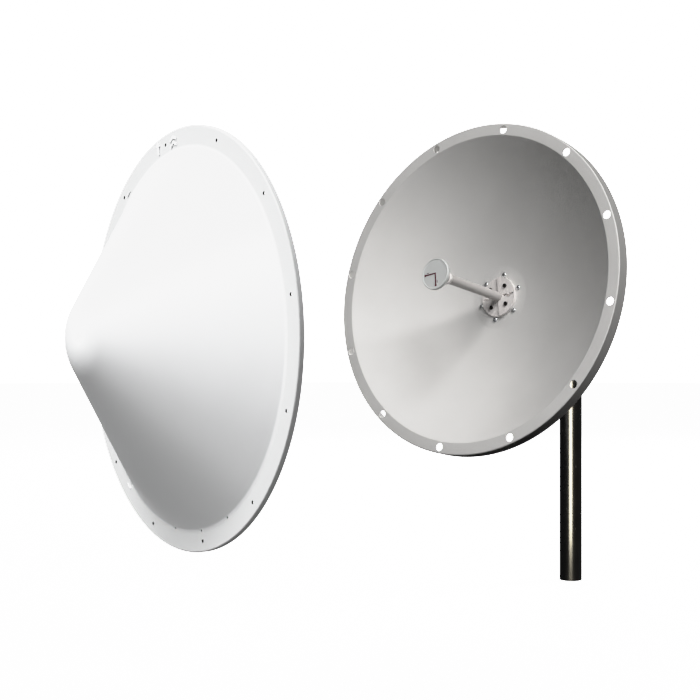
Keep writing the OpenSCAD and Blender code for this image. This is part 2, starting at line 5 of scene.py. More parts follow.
import bmesh
import bpy
from mathutils import Matrix, Vector
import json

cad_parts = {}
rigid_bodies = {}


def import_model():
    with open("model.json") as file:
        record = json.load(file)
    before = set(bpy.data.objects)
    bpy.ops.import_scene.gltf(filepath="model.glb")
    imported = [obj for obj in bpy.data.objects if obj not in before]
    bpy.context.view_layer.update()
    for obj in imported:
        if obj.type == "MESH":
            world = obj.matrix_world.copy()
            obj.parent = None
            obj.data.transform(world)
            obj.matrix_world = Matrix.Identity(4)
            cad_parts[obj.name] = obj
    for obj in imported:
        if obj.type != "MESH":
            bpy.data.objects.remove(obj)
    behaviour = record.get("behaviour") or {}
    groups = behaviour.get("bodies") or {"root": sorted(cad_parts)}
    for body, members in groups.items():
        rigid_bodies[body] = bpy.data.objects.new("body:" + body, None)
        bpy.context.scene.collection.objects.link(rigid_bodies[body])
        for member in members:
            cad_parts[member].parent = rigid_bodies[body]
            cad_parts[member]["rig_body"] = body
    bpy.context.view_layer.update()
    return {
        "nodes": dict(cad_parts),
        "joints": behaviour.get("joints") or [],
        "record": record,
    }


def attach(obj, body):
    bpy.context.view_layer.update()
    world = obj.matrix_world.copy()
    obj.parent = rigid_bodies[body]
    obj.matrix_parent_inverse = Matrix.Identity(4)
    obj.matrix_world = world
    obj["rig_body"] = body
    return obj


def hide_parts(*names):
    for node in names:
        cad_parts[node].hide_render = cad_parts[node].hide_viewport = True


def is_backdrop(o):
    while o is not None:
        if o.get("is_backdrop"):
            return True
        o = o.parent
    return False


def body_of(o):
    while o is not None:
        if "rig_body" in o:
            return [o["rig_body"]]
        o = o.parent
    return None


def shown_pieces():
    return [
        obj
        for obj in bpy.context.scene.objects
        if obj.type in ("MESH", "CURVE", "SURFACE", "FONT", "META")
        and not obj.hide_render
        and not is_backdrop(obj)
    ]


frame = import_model()

MM = 0.001
JOINTS = {joint["name"]: joint for joint in frame["joints"]}
MOUNTS = {mount["name"]: mount for mount in frame["record"]["mounts"]}

# Sizes in millimetres, and angles in degrees
RIM_R = 338
BOWL_R = 314
BOWL_DEPTH = 98
FLAT_R = 62
SHEET = 2
EDGE_DEPTH = 28
EDGE_ROUND = 2.6
RIM_Z = 250
FLAT_Z = RIM_Z - BOWL_DEPTH
CENTRE_BORE_R = 32.5
HOLE_RING_R = RIM_R - 13
RIM_HOLE_R = 8
PATTERN_TURN = 6.3
DISH_BOLT_R = 47
DISH_BOLT_HOLE_R = 3.3
ARM_Z = 141
FEED_TURN = 11
TUBE_R = 9.5
HUB_PLATE_R = 41
HUB_PLATE_T = 3
HUB_STEP = 4
SEAT_Z = FLAT_Z + 0.3
PLATE_BOLT_R = 27
CAP_R = 31
CAP_FACE_Z = RIM_Z + 120
CAP_T = 5
COVER_Z = 70
SOCKET_OFFSET = 15
ARM_IN = 52
YOKE_OUT = 62.5
LOCK_RADIUS = 45
PIVOT_Z = 580
U_BEND_R = 28.3
U_SPREAD = 32
YOKE_FRONT = 39.5
MAST_R = 24
MAST_TOP = 680
RADOME_R = 342
CONE_R = 308
NOSE_HEIGHT = 196
NOSE_R = 105
ROOT_R = 14
RADOME_WALL = 3
SKIRT = 9
RADOME_EDGE = 2.5
RADOME_HOLE_R = 2.8
DRAIN_HOLE_R = 2
RADOME_ROLL = 11
SMOOTH_ANGLE = 32
ROUND = 192
FINE = 40


def turn(angle, axis):
    return Matrix.Rotation(math.radians(angle), 4, axis)


def shift(x=0, y=0, z=0):
    return Matrix.Translation((x * MM, y * MM, z * MM))


def looking_along(origin, direction):
    """A frame with local Z along direction and local Y as near to world up as it can be."""
    z_axis = Vector(direction).normalized()
    x_axis = Vector((0, 0, 1)).cross(z_axis).normalized()
    y_axis = z_axis.cross(x_axis)
    turned = Matrix((x_axis, y_axis, z_axis)).transposed().to_4x4()
    return Matrix.Translation(Vector(origin)) @ turned


STRAIGHT = Matrix.Identity(4)
BORESIGHT = looking_along(JOINTS["elevation"]["pos_m"], JOINTS["feed_turn"]["axis"])
FEED = BORESIGHT @ turn(FEED_TURN, "Z")
RADOME_RING = MOUNTS["radome_holes"]
RADOME = looking_along(RADOME_RING["pos_m"], RADOME_RING["axis"]) @ turn(RADOME_ROLL, "Z")
PIVOT = Matrix.Translation(Vector(JOINTS["elevation"]["pos_m"]))


# ---- Shader maths ----

class Value:
    """A socket that holds a number. Sums and products of values add Math nodes."""

    def __init__(self, paint, socket):
        self.paint = paint
        self.socket = socket

    def math(self, operation, first, second):
        return self.paint.node("Math", {"operation": operation}, {0: first, 1: second})

    def __add__(self, other):
        return self.math("ADD", self, other)

    def __mul__(self, other):
        return self.math("MULTIPLY", self, other)

    def __pow__(self, other):
        return self.math("POWER", self, other)

    __radd__ = __add__
    __rmul__ = __mul__


class Paint:
    """One material: a Principled shader, whose varying sockets come from nodes."""

    def __init__(self, name, **constants):
        self.material = bpy.data.materials.new(name)
        self.material.use_nodes = True
        self.tree = self.material.node_tree
        self.shader = self.tree.nodes["Principled BSDF"]
        for socket, value in constants.items():
            self.shader.inputs[socket.replace("_", " ")].default_value = value
        self.where = self.node("TexCoord", out="Object")

    def node(self, kind, settings=None, inputs=None, out=0):
        """Adds a node: its settings first, then the values or links of its sockets."""
        made = self.tree.nodes.new("ShaderNode" + kind)
        for key, value in (settings or {}).items():
            setattr(made, key, value)
        for key, value in (inputs or {}).items():
            self.feed(made.inputs[key], value)
        return Value(self, made.outputs[out])

    def feed(self, socket, value):
        if isinstance(value, Value):
            self.tree.links.new(value.socket, socket)
        else:
            socket.default_value = value

    def noise(self, size_mm, detail, stretch=(1, 1, 1)):
        """Soft noise from 0 to 1 whose blotches are about size_mm wide."""
        where = self.node("Mapping", None, {"Vector": self.where, "Scale": stretch})
        return self.node("TexNoise", None, {"Vector": where, "Scale": 1 / (size_mm * MM), "Detail": detail})

    def cells(self, size_mm, out="Distance"):
        """Irregular cells about size_mm wide."""
        return self.node("TexVoronoi", None, {"Vector": self.where, "Scale": 1 / (size_mm * MM)}, out)

    def band(self, value, low, high, new_low=0.0, new_high=1.0):
        """Stretches the part of value between low and high to new_low and new_high."""
        limits = {"From Min": low, "From Max": high, "To Min": new_low, "To Max": new_high}
        return self.node("MapRange", {"clamp": True}, {"Value": value, **limits})

    def radius(self):
        """Distance from the piece's own local Z, in metres."""
        across = self.node("SeparateXYZ", None, {0: self.where}, "X")
        upward = self.node("SeparateXYZ", None, {0: self.where}, "Y")
        return (across ** 2 + upward ** 2) ** 0.5

    def mix(self, factor, first, second):
        """The colour first where factor is 0, and second where it is 1."""
        colours = {"Factor": factor, 6: self.colour(first), 7: self.colour(second)}
        return self.node("Mix", {"data_type": "RGBA"}, colours, 2)

    def colour(self, value):
        return value if isinstance(value, Value) else (*value, 1)

    def bump(self, height, depth_mm):
        lifted = {"Height": height, "Distance": depth_mm * MM}
        self.feed(self.shader.inputs["Normal"], self.node("Bump", None, lifted))

    def base(self, colour):
        self.feed(self.shader.inputs["Base Color"], self.colour(colour))

    def roughness(self, value):
        self.feed(self.shader.inputs["Roughness"], value)


def edge_wear(paint, amount):
    """Where an edge sticks out, from 0 to amount."""
    pointed = paint.node("NewGeometry", out="Pointiness")
    return paint.band(pointed, 0.52, 0.62, 0, amount)


def mottled(name, dark, light, blotch_mm, rough, grain_mm, grain_depth_mm, **constants):
    """Base colour and roughness that drift over blotches, under a fine grain."""
    paint = Paint(name, **constants)
    blotch = paint.noise(blotch_mm, 4)
    fine = paint.noise(grain_mm, 2)
    paint.base(paint.mix(paint.band(blotch + 0.3 * fine, 0.45, 0.85), dark, light))
    paint.roughness(paint.band(blotch, 0.3, 0.7, *rough))
    paint.bump(fine, grain_depth_mm)
    return paint


def powder_coat(name, dark, light):
    """Sprayed and baked coat: orange peel, faint mottling and a little dust.

    The turned-back edge is painted darker, as painted shade, and is also made duller than the rest.
    """
    paint = Paint(name, Specular_IOR_Level=0.4)
    peel = paint.noise(2.6, 3)
    cloud = paint.noise(140, 4)
    speck = paint.band(paint.cells(9), 0.03, 0.07, 1, 0)
    tone = paint.mix(paint.band(cloud + 0.12 * peel, 0.42, 0.72), dark, light)
    tone = paint.mix(speck * 0.08, tone, (0.3, 0.28, 0.25))
    # Painted shade: the wall of the turned-back edge is darkened towards a dark grey, standing in for its
    # shaded side.
    side = paint.band(paint.radius(), (RIM_R - 0.7) * MM, (RIM_R - 0.1) * MM)
    paint.base(paint.mix(side * 0.95, tone, (0.2, 0.196, 0.19)))
    paint.roughness(paint.band(cloud + 0.2 * peel, 0.4, 0.8, 0.42, 0.54) + side * 0.4)
    paint.bump(peel + 0.5 * paint.noise(0.7, 2), 0.05)
    return paint


def moulded_white(name, dark, light, rough, grain_mm=0.8, painted_tube_shade=0.0):
    """Moulded plastic. The shade argument paints shade: it greys what lies on and near the feed tube's wall,
    standing in for the tube's shaded side.
    """
    paint = Paint(name, Specular_IOR_Level=0.5)
    cloud = paint.noise(60, 4)
    grain = paint.noise(grain_mm, 2)
    tone = paint.mix(paint.band(cloud, 0.35, 0.65), dark, light)
    # Painted shade: the feed tube's wall, and the plate bores around it, are greyed as if in shadow.
    painted_tube_shade_mask = paint.band(paint.radius(), (TUBE_R + 0.1) * MM, (TUBE_R + 0.4) * MM, painted_tube_shade, 0)
    paint.base(paint.mix(painted_tube_shade_mask, tone, (0.35, 0.335, 0.325)))
    paint.roughness(paint.band(cloud + 0.15 * grain, 0.4, 0.75, *rough))
    paint.bump(grain, 0.02)
    return paint


def radome_skin():
    """Glossy moulding with a duller, greyer, grained flange. The walls of its drilled holes are painted near
    black, as painted shade for the dark inside of the holes.
    """
    paint = Paint("radome_skin", Specular_IOR_Level=0.5)
    radius = paint.radius()
    height = paint.node("SeparateXYZ", None, {0: paint.where}, "Z")
    facing = paint.node("SeparateXYZ", None, {0: paint.node("TexCoord", out="Normal")}, "Z")
    flange = paint.band(radius, (CONE_R - 2) * MM, (CONE_R + 4) * MM)
    flange = flange * paint.band(height, 0.5 * MM, 1.2 * MM, 1, 0)
    # Painted shade: the upright walls of the drilled holes in the flange are painted near black.
    upright_for_painted_shade = paint.band(paint.node("Math", {"operation": "ABSOLUTE"}, {0: facing}), 0.2, 0.35, 1, 0)
    bore = upright_for_painted_shade * paint.band(radius, (RIM_R - 8) * MM, (RIM_R - 6) * MM, 1, 0)
    bore = bore * paint.band(height, -0.2 * MM, 0.1 * MM, 1, 0)
    cloud = paint.noise(120, 4)
    grain = paint.noise(1.3, 3)
    cone_tone = paint.mix(paint.band(cloud, 0.35, 0.65), (0.845, 0.85, 0.855), (0.865, 0.87, 0.875))
    flange_tone = paint.mix(paint.band(grain, 0.35, 0.65), (0.55, 0.555, 0.555), (0.64, 0.645, 0.645))
    skin = paint.mix(flange, cone_tone, flange_tone)
    paint.base(paint.mix(bore, skin, (0.01, 0.01, 0.01)))
    paint.roughness(paint.band(flange, 0, 1, 0.3, 0.5) + 0.08 * cloud)
    paint.bump(grain * (0.1 + flange) + 0.4 * cloud, 0.1)
    return paint


def gloss_black():
    """Baked black enamel on a drawn tube, with long faint draw lines and a few fine scuffs."""
    paint = Paint("gloss_black", Specular_IOR_Level=0.6, Coat_Roughness=0.1, Coat_Weight=0.3)
    lines = paint.noise(3, 3, (1, 1, 0.02))
    cloud = paint.noise(30, 4)
    scuff = paint.band(paint.noise(5, 6, (1, 1, 0.25)), 0.7, 0.74)
    black = paint.mix(cloud, (0.004, 0.004, 0.0045), (0.008, 0.0075, 0.007))
    paint.base(paint.mix(scuff * 0.35, black, (0.04, 0.04, 0.04)))
    paint.roughness(paint.band(cloud, 0.3, 0.7, 0.2, 0.25) + 0.15 * scuff)
    paint.bump(lines + 0.2 * cloud, 0.003)
    return paint


def spangled_zinc():
    """Hot-dip galvanised steel: crystal spangles of several greys."""
    paint = Paint("spangled_zinc", Metallic=0.92, Specular_IOR_Level=0.5)
    spangle = paint.node("SeparateColor", None, {0: paint.cells(7, "Color")}, 0)
    cloud = paint.noise(25, 4)
    tone = paint.mix(paint.band(spangle + 0.5 * cloud, 0.3, 1.2), (0.37, 0.39, 0.40), (0.60, 0.62, 0.63))
    paint.base(paint.mix(edge_wear(paint, 0.4), tone, (0.78, 0.79, 0.8)))
    paint.roughness(paint.band(spangle, 0, 1, 0.34, 0.52))
    paint.bump(spangle + 0.5 * paint.noise(1.2, 3), 0.03)
    return paint


def bright_zinc(name="bright_zinc", dark=(0.55, 0.57, 0.6), light=(0.76, 0.77, 0.76), rough=(0.2, 0.34)):
    """Plated steel with a cloudy passivate and bright worn edges."""
    paint = Paint(name, Metallic=1.0)
    cloud = paint.noise(8, 4)
    fine = paint.noise(0.5, 2)
    tone = paint.mix(paint.band(cloud, 0.35, 0.65), dark, light)
    paint.base(paint.mix(edge_wear(paint, 0.6), tone, tuple(min(1, 1.2 * part) for part in light)))
    paint.roughness(paint.band(cloud + 0.3 * fine, 0.4, 0.9, *rough))
    paint.bump(fine, 0.012)
    return paint


def brushed_plate():
    paint = Paint("brushed_plate", Metallic=1.0, Anisotropic=0.5)
    lines = paint.noise(0.35, 2, (1, 0.03, 1))
    paint.base(paint.mix(paint.band(lines, 0.3, 0.7), (0.66, 0.66, 0.64), (0.86, 0.86, 0.84)))
    paint.roughness(paint.band(lines, 0.3, 0.7, 0.25, 0.4))
    paint.bump(lines, 0.01)
    return paint


def laminate():
    """Green circuit board with the weave of its glass cloth."""
    paint = Paint("laminate", Specular_IOR_Level=0.5)
    weave = paint.node("TexBrick", None, {"Vector": paint.where, "Scale": 900.0}, 1)
    cloud = paint.noise(6, 3)
    paint.base(paint.mix(paint.band(weave * 0.3 + cloud, 0.3, 0.9), (0.03, 0.16, 0.09), (0.05, 0.24, 0.14)))
    paint.roughness(paint.band(cloud, 0.3, 0.7, 0.3, 0.42))
    paint.bump(weave, 0.01)
    return paint


BLACK = (0.012, 0.012, 0.012)
WHITE_DARK = (0.78, 0.745, 0.725)
WHITE_LIGHT = (0.84, 0.805, 0.785)
PAINTS = {
    "black_paint": gloss_black(),
    "black_plastic": mottled("black_cap", BLACK, (0.03, 0.03, 0.03), 14, (0.5, 0.65), 0.6, 0.06),
    "zinc": bright_zinc(),
    "galvanised": spangled_zinc(),
    "cast_alloy": mottled(
        "cast_alloy", (0.42, 0.43, 0.44), (0.6, 0.61, 0.62), 9, (0.4, 0.55), 0.9, 0.08, Metallic=0.95,
    ),
    "scale_plate": brushed_plate(),
    "brass": bright_zinc("brass", (0.6, 0.42, 0.16), (0.8, 0.62, 0.28), (0.25, 0.4)),
    "dish_coat": powder_coat("dish_coat", (0.685, 0.675, 0.66), (0.715, 0.705, 0.69)),
    # The white plastic carries painted shade on the feed tube's wall.
    "white_plastic": moulded_white("white_plastic", WHITE_DARK, WHITE_LIGHT, (0.3, 0.42), painted_tube_shade=0.75),
    "black_oxide": mottled(
        "black_oxide", (0.02, 0.018, 0.016), (0.05, 0.045, 0.04), 3, (0.2, 0.34), 0.4, 0.01, Metallic=0.5,
    ),
    "rubber": mottled("rubber", BLACK, (0.026, 0.026, 0.026), 5, (0.6, 0.8), 0.5, 0.03),
    "nickel": bright_zinc("nickel", (0.6, 0.58, 0.53), (0.74, 0.72, 0.68), (0.14, 0.24)),
    "white_insulator": moulded_white(
        "white_insulator", (0.84, 0.84, 0.82), (0.9, 0.9, 0.88), (0.45, 0.55), grain_mm=0.4,
    ),
    "gold": bright_zinc("gold", (0.78, 0.55, 0.2), (0.95, 0.75, 0.38), (0.16, 0.26)),
    "copper": bright_zinc("copper", (0.6, 0.32, 0.2), (0.85, 0.52, 0.38), (0.25, 0.38)),
    "aluminium": brushed_plate(),
    "board": laminate(),
    "feed_cap_plastic": moulded_white(
        "feed_cap_plastic", (0.66, 0.67, 0.66), (0.73, 0.74, 0.73), (0.32, 0.42),
    ),
    "mark_print": mottled(
        "mark_print", (0.07, 0.004, 0.012), (0.11, 0.008, 0.022), 3, (0.45, 0.6), 0.3, 0.02,
    ),
    "radome_plastic": radome_skin(),
}
NODE_SLOTS = {part["node"]: part["material_slot"] for part in frame["record"]["subparts"]}
for node_name, cad_part in frame["nodes"].items():
    cad_part.data.materials.clear()
    cad_part.data.materials.append(PAINTS[NODE_SLOTS[node_name]].material)


# ---- Mesh tools: sizes in millimetres, each piece in its own local frame ----

def polar(radius, angle, height):
    """A point in metres, from a radius and a height in millimetres and an angle in radians."""
    return Vector((radius * math.cos(angle), radius * math.sin(angle), height)) * MM


def lathe(mesh, profile, place=STRAIGHT, steps=ROUND):
    """Turns (radius, height) points round local Z.

    A profile that doesn't start on the axis closes on itself.
    """
    rings = []
    for radius, height in profile:
        count = steps if radius else 1
        angles = [2 * math.pi * i / steps for i in range(count)]
        rings.append([mesh.verts.new(place @ polar(radius, angle, height)) for angle in angles])
    pairs = list(zip(rings, rings[1:]))
    if profile[0][0]:
        pairs.append((rings[-1], rings[0]))
    for low, high in pairs:
        join_rings(mesh, low, high, steps)


def join_rings(mesh, low, high, steps):
    for i in range(steps):
        j = (i + 1) % steps
        corners = [low[i % len(low)], low[j % len(low)], high[j % len(high)], high[i % len(high)]]
        mesh.faces.new(list(dict.fromkeys(corners)))


def prism(mesh, outline, low, high, place=STRAIGHT):
    """A straight block on an outline of (x, y) points."""
    floor = [mesh.verts.new(place @ (Vector((x, y, low)) * MM)) for x, y in outline]
    roof = [mesh.verts.new(place @ (Vector((x, y, high)) * MM)) for x, y in outline]
    mesh.faces.new(list(reversed(floor)))
    mesh.faces.new(roof)
    join_rings(mesh, floor, roof, len(outline))


def tube_wall(outer, inner, low, high, ease):
    """Profile of a straight tube with its sharp edges eased."""
    return [
        (inner + ease, low), (outer - ease, low), (outer, low + ease), (outer, high - ease),
        (outer - ease, high), (inner + ease, high), (inner, high - ease), (inner, low + ease),
    ]


def arc(centre_r, centre_z, radius, first, last, steps=8):
    """Points of a round corner in a profile, between two angles."""
    angles = [math.radians(first + (last - first) * i / steps) for i in range(steps + 1)]
    return [(centre_r + radius * math.cos(a), centre_z + radius * math.sin(a)) for a in angles]


def washer(mesh, place, outer, inner, low, high):
    lathe(mesh, tube_wall(outer, inner, low, high, 0.25), place, FINE)


def hexagon(mesh, place, corner, bore, low, high, steps=72):
    """A hexagon nut with both faces chamfered, or a head when bore is 0."""
    flat = corner * math.cos(math.pi / 6)
    slope = math.tan(math.radians(28))
    rings = []
    for k in range(6):
        ring = []
        for i in range(steps):
            angle = 2 * math.pi * i / steps
            edge = flat / math.cos((angle % (math.pi / 3)) - math.pi / 6)
            drop = max(0, edge - 0.97 * flat) * slope
            radius, height = [
                (bore, low), (0.97 * flat, low), (edge, low + drop),
                (edge, high - drop), (0.97 * flat, high), (bore, high),
            ][k]
            if radius:
                ring.append(mesh.verts.new(place @ polar(radius, angle, height)))
        rings.append(ring or [mesh.verts.new(place @ polar(0, 0, height))])
    pairs = list(zip(rings, rings[1:]))
    if bore:
        pairs.append((rings[-1], rings[0]))
    for lower, upper in pairs:
        join_rings(mesh, lower, upper, steps)


def thread(mesh, place, radius, pitch, low, high, steps=32, layers=6):
    """A screw thread on a rod, closed at both ends and run out towards the high one."""
    depth = 0.6 * pitch
    count = max(2, round((high - low) / pitch * layers))
    rings = [[mesh.verts.new(place @ polar(0, 0, low))]]
    for k in range(count + 1):
        height = low + (high - low) * k / count
        ring = []
        for i in range(steps):
            phase = (height / pitch - i / steps) % 1
            crest = min(radius, radius - depth + (high - height) * 1.5)
            reach = min(crest, radius - depth * abs(2 * phase - 1))
            angle = 2 * math.pi * i / steps
            ring.append(mesh.verts.new(place @ polar(reach, angle, height)))
        rings.append(ring)
    rings.append([mesh.verts.new(place @ polar(0, 0, high))])
    for lower, upper in zip(rings, rings[1:]):
        join_rings(mesh, lower, upper, steps)


def rod(mesh, place, radius, low, high):
    ease = 0.3
    foot = [(0, low), (radius - ease, low), (radius, low + ease)]
    head = [(radius, high - ease), (radius - ease, high), (0, high)]
    lathe(mesh, foot + head, place, FINE)


def drill(mesh, place, radius, low, high, steps):
    """A plain closed cylinder, to cut a hole with."""
    lathe(mesh, [(0, low), (radius, low), (radius, high), (0, high)], place, steps)


def sweep(mesh, points, radius):
    """A round bar along points in millimetres, closed at both ends."""
    path = [Vector(point) for point in points]
    side = Vector((0, 0, 1))
    rings = [[mesh.verts.new(path[0] * MM)]]
    for i, point in enumerate(path):
        ahead = (path[min(i + 1, len(path) - 1)] - path[max(i - 1, 0)]).normalized()
        side = (side - ahead * side.dot(ahead)).normalized()
        other = ahead.cross(side)
        angles = [2 * math.pi * k / FINE for k in range(FINE)]
        spots = [point + radius * (math.cos(a) * side + math.sin(a) * other) for a in angles]
        rings.append([mesh.verts.new(spot * MM) for spot in spots])
    rings.append([mesh.verts.new(path[-1] * MM)])
    for low, high in zip(rings, rings[1:]):
        join_rings(mesh, low, high, FINE)


def spaced(count, radius, first=90.0):
    """Places on a circle round local Z, from the angle first."""
    return [turn(first + 360 * i / count, "Z") @ shift(radius) for i in range(count)]


def make(name, mesh, local=STRAIGHT):
    """Turns a bmesh in local coordinates into an object, and empties the bmesh."""
    bmesh.ops.recalc_face_normals(mesh, faces=mesh.faces)
    data = bpy.data.meshes.new(name)
    mesh.to_mesh(data)
    mesh.free()
    piece = bpy.data.objects.new(name, data)
    bpy.context.scene.collection.objects.link(piece)
    piece.matrix_world = local
    return piece


def carve(piece, cutter_mesh):
    """Cuts the closed solids in cutter_mesh, in the piece's own coordinates, out of the piece."""
    cutter = make("cutter", cutter_mesh, piece.matrix_world)
    cut = piece.modifiers.new("cut", "BOOLEAN")
    cut.operation = "DIFFERENCE"
    cut.solver = "EXACT"
    cut.object = cutter
    settle(piece)
    bpy.data.objects.remove(cutter)


def settle(piece):
    """Applies the piece's modifiers."""
    bpy.context.view_layer.update()
    evaluated = piece.evaluated_get(bpy.context.evaluated_depsgraph_get())
    piece.data = bpy.data.meshes.new_from_object(evaluated)
    piece.modifiers.clear()


def ease_edges(piece, width_mm):
    bevel = piece.modifiers.new("eased", "BEVEL")
    bevel.width = width_mm * MM
    bevel.segments = 2
    bevel.limit_method = "ANGLE"
    bevel.angle_limit = math.radians(35)
    bevel.use_clamp_overlap = True


def finish_piece(piece, body, slot, *nodes):
    """Shades the piece, gives it its slot's paint, and puts it on its body in place of its CAD nodes."""
    piece.data.shade_smooth()
    piece.data.set_sharp_from_angle(angle=math.radians(SMOOTH_ANGLE))
    even = piece.modifiers.new("even", "WEIGHTED_NORMAL")
    even.keep_sharp = True
    piece.data.materials.clear()
    piece.data.materials.append(PAINTS[slot].material)
    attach(piece, body)
    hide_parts(*nodes)


# ---- Dish ----

BOWL_CURVE = (BOWL_R ** 2 - FLAT_R ** 2) / BOWL_DEPTH


def bowl_height(radius):
    return FLAT_Z + (radius ** 2 - FLAT_R ** 2) / BOWL_CURVE


def reflector():
    """The spun sheet: flat centre, parabola, flange with a rounded lip, turned-back edge and hem."""
    steps = 40
    front, back = [], []
    for i in range(steps + 1):
        radius = FLAT_R + (BOWL_R - FLAT_R) * i / steps
        slope = math.atan(2 * radius / BOWL_CURVE)
        front.append((radius, bowl_height(radius)))
        back.append((radius + SHEET * math.sin(slope), bowl_height(radius) - SHEET * math.cos(slope)))
    front[-1:] = [(BOWL_R - 1, bowl_height(BOWL_R - 1)), (BOWL_R + 0.6, RIM_Z)]
    lip_z = RIM_Z - EDGE_DEPTH
    lip = arc(RIM_R - EDGE_ROUND, RIM_Z - EDGE_ROUND, EDGE_ROUND, 90, 0)
    hem = arc(RIM_R - SHEET / 2, lip_z + SHEET / 2, SHEET / 2, 0, -180, 6)
    inside = arc(RIM_R - EDGE_ROUND, RIM_Z - EDGE_ROUND, EDGE_ROUND - SHEET, 0, 90, 4)
    mouth = [(CENTRE_BORE_R, FLAT_Z)]
    profile = mouth + [*front, *lip, *hem, *inside, *reversed(back), (CENTRE_BORE_R, FLAT_Z - SHEET)]
    mesh = bmesh.new()
    lathe(mesh, profile, steps=240)
    piece = make("spun_reflector", mesh, BORESIGHT)
    holes = bmesh.new()
    for place in spaced(12, HOLE_RING_R, 90 - PATTERN_TURN):
        drill(holes, place, RIM_HOLE_R, RIM_Z - 9, RIM_Z + 2, FINE)
    for place in spaced(6, DISH_BOLT_R, 90 - PATTERN_TURN):
        drill(holes, place, DISH_BOLT_HOLE_R, FLAT_Z - 5, FLAT_Z + 2, FINE)
    carve(piece, holes)
    finish_piece(piece, "dish", "dish_coat", "reflector")


def dish_fasteners():
    """Domed bolts through the dish, with washers and nuts behind the arm."""
    bolts, washers, nuts = bmesh.new(), bmesh.new(), bmesh.new()
    for place in spaced(6, DISH_BOLT_R, 90 - PATTERN_TURN):
        dome = [(5.25, FLAT_Z), *arc(0.0, FLAT_Z + 0.6, 5.25, 4, 88, 8)]
        dome = [(radius, FLAT_Z + (height - FLAT_Z) * 0.58) for radius, height in dome]
        lathe(bolts, [(0, FLAT_Z), *dome, (0, dome[-1][1])], place, FINE)
        rod(bolts, place, 3, ARM_Z - 4, FLAT_Z + 0.1)
        thread(bolts, place @ turn(180, "X"), 3, 1, 4 - ARM_Z, 9 - ARM_Z)
        washer(washers, place, 6, 3.05, ARM_Z - 1.6, ARM_Z)
        hexagon(nuts, place, 5.77, 3.05, ARM_Z - 6.6, ARM_Z - 1.6)
    finish_piece(make("domed_bolts", bolts, BORESIGHT), "dish", "zinc", "dish_bolts")
    finish_piece(make("arm_washers", washers, BORESIGHT), "dish", "zinc", "dish_washers")
    finish_piece(make("arm_nuts", nuts, BORESIGHT), "dish", "zinc", "dish_nuts")


reflector()
dish_fasteners()


# ---- Feed ----

def half_disc(radius, inner, split, side):
    """Outline of half a ring, on the +X side for side 1 and on the -X side for side -1."""
    outer_stop = math.degrees(math.acos(split / radius))
    inner_stop = math.degrees(math.acos(split / inner))
    outside = arc(0, 0, radius, -outer_stop, outer_stop, 60)
    inside = arc(0, 0, inner, inner_stop, -inner_stop, 24)
    return [(side * x, y) for x, y in outside + inside]


def plate_half(name, node, side, thickness):
    """One half of the hub plate, with its dipped slot and two holes for the screws."""
    mesh = bmesh.new()
    prism(mesh, half_disc(HUB_PLATE_R, TUBE_R + 0.2, 0.5, side), SEAT_Z, SEAT_Z + thickness)
    piece = make(name, mesh, FEED)
    cuts = bmesh.new()
    dip_x, dip_r, slot_w = 26, 7, 4
    low, high = SEAT_Z + 0.6, SEAT_Z + thickness + 1
    for first, last in ((13, dip_x - dip_r + 0.6), (dip_x + dip_r - 0.6, 38)):
        corners = ((first, -1), (last, -1), (last, 1), (first, 1))
        prism(cuts, [(side * x, edge * slot_w / 2) for x, edge in corners], low, high)
    carve(piece, cuts)
    moat = bmesh.new()
    ring = arc(dip_x, 0, dip_r, -180, 0, 24) + arc(dip_x, 0, dip_r - slot_w, 0, -180, 24)
    ring = [(side * x, y + slot_w / 2) for x, y in ring]
    prism(moat, ring, low, high)
    for angle in (-45, 45):
        spot = turn(angle, "Z") @ shift(PLATE_BOLT_R)
        if side < 0:
            spot = turn(180, "Z") @ spot
        drill(moat, spot, 2.7, SEAT_Z - 1, high, FINE)
    carve(piece, moat)
    ease_edges(piece, 0.45)
    finish_piece(piece, "feed", "white_plastic", node)


def plate_screws():
    """Socket head screws with a chamfered rim and a plain round socket."""
    mesh = bmesh.new()
    for angle in (-135, -45, 45, 135):
        step = HUB_STEP if abs(angle) < 90 else 0
        top = SEAT_Z + HUB_PLATE_T + step
        spot = turn(angle, "Z") @ shift(PLATE_BOLT_R)
        shank = [(0, SEAT_Z - 5), (2.5, SEAT_Z - 5), (2.5, top)]
        head = [(4.05, top), (4.25, top + 0.2), (4.25, top + 2.6), (3.9, top + 3), (2.7, top + 3)]
        socket = [(2.45, top + 2.8), (2.45, top + 1.2), (0, top + 1.2)]
        lathe(mesh, shank + head + socket, spot, 36)
    finish_piece(make("socket_screws", mesh, FEED), "feed", "black_oxide", "plate_bolts")


def feed_pipe():
    """The tube with its foot flange, and the flared collar behind the cap."""
    top = CAP_FACE_Z - CAP_T - 2
    end, inner, foot_r, foot_z = 144, TUBE_R - 2, 13, SEAT_Z - 2
    foot = [(TUBE_R, foot_z), (foot_r, foot_z), (foot_r, SEAT_Z), (TUBE_R, SEAT_Z)]
    mesh = bmesh.new()
    lathe(mesh, [(inner, end), (TUBE_R, end), *foot, (TUBE_R, top), (inner, top)], steps=72)
    finish_piece(make("feed_pipe", mesh, FEED), "feed", "white_plastic", "feed_tube")
    low = CAP_FACE_Z - 44
    mesh = bmesh.new()
    cone = [(TUBE_R + 0.05, low), (TUBE_R + 1, low), (TUBE_R + 3.1, low + 5.5)]
    flare = arc(TUBE_R + 1.2, low + 7, 2.2, 0, 70, 5)
    lathe(mesh, [*cone, *flare, (TUBE_R + 0.05, low + 9)], steps=72)
    finish_piece(make("flared_collar", mesh, FEED), "feed", "white_plastic", "tube_collar")


